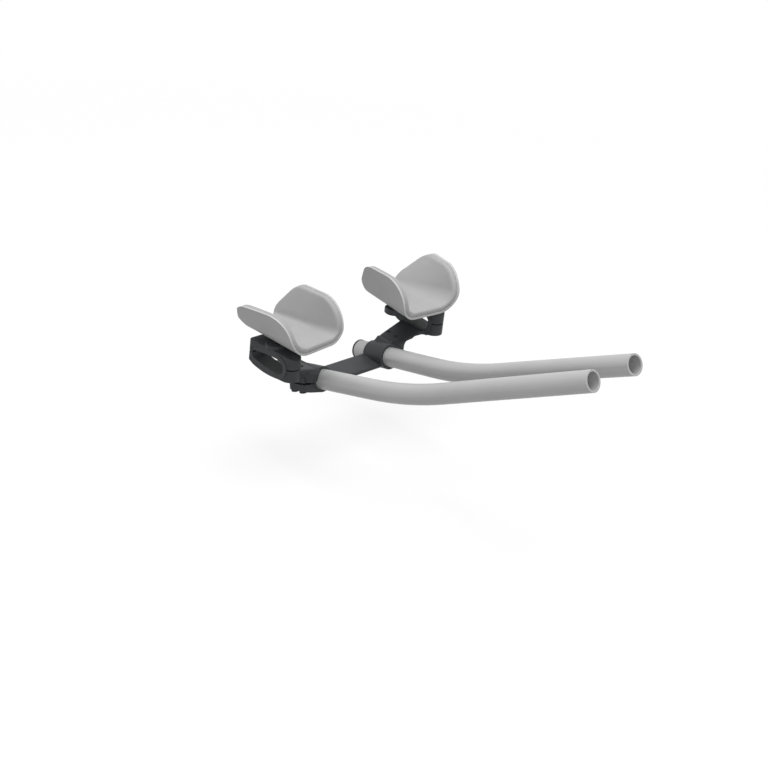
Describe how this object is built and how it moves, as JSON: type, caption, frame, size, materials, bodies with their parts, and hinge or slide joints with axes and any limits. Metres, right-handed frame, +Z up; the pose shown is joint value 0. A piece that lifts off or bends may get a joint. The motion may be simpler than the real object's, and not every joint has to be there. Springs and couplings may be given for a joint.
{
  "type": "aero handlebar extension",
  "caption": "Clip-on aero extension: clamps for a wing-section handlebar, a bridge that holds bent forward tubes, and padded armrest cups on the clamps.",
  "frame": {"origin": "midway between the two bar clamps, at the centre of the wing-shaped bar opening", "axes": "+X forward along the extensions, +Y to the rider's left along the handlebar, +Z up"},
  "size_m": [0.3994, 0.2906, 0.1635],
  "materials": {
    "dark_anodised": "satin anodised",
    "grey_tube": "satin anodised",
    "grey_shell": "moulded, satin",
    "grey_foam": "soft foam with a smooth skin",
    "liner_rubber": "moulded, matt",
    "plug_rubber": "moulded, matt",
    "bolt_steel": "black oxide"
  },
  "bodies": {
    "root": {"bridge": "dark_anodised", "left_upper_clamp": "dark_anodised", "left_lower_clamp": "dark_anodised", "left_liner": "liner_rubber", "left_clamp_bolt": "bolt_steel", "left_pinch_bolts": "bolt_steel", "left_extension": "grey_tube", "left_rear_plug": "plug_rubber", "left_armrest_cup": "grey_shell", "left_armrest_pad": "grey_foam", "left_armrest_bolts": "bolt_steel", "right_upper_clamp": "dark_anodised", "right_lower_clamp": "dark_anodised", "right_liner": "liner_rubber", "right_clamp_bolt": "bolt_steel", "right_pinch_bolts": "bolt_steel", "right_extension": "grey_tube", "right_rear_plug": "plug_rubber", "right_armrest_cup": "grey_shell", "right_armrest_pad": "grey_foam", "right_armrest_bolts": "bolt_steel"}
  },
  "joints": []
}
